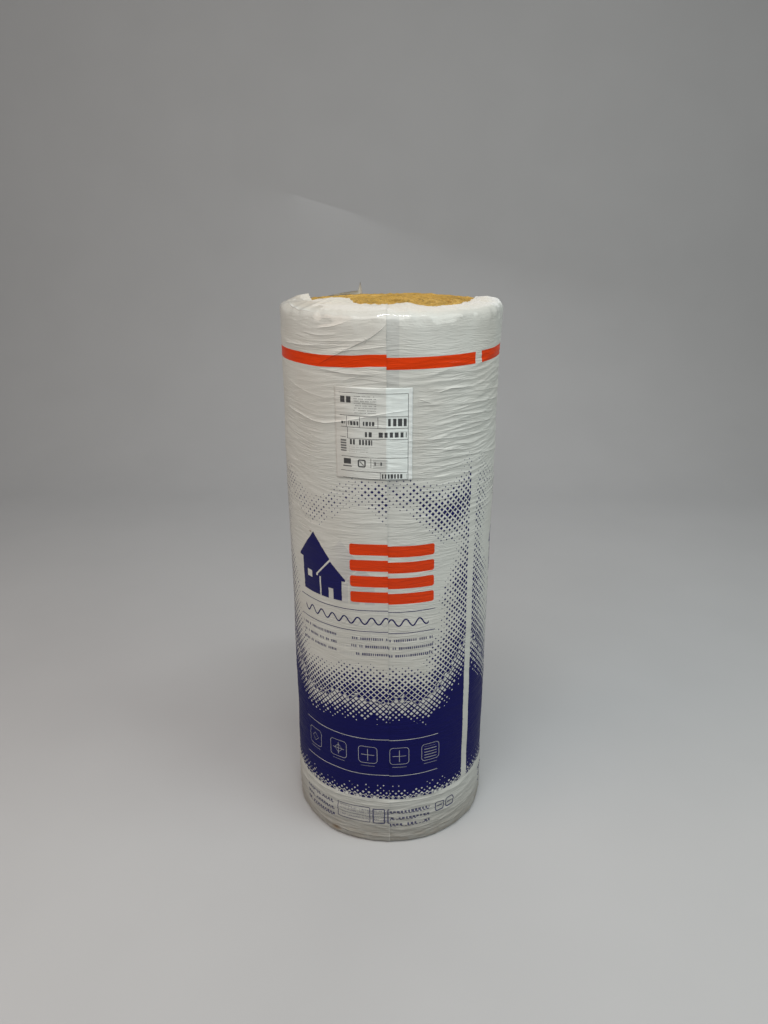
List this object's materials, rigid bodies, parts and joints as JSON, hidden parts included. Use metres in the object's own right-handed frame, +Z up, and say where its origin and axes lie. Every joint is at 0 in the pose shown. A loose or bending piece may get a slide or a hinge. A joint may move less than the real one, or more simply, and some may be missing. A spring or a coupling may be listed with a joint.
{
  "type": "insulation roll",
  "caption": "Roll of mineral wool blanket standing on its end, wrapped in plastic film that folds in over both ends, with a paper label across the film's seam.",
  "frame": {"origin": "centre of the roll's foot, on the floor", "axes": "+Z up along the roll's axis, -Y towards the front, where the film's seam and the label are"},
  "size_m": [0.4536, 0.4552, 1.2026],
  "materials": {
    "wool": "matte",
    "film": "satin",
    "label_paper": "matte"
  },
  "bodies": {
    "root": {"wool_roll": "wool", "film_wrap": "film", "label": "label_paper"}
  },
  "joints": []
}
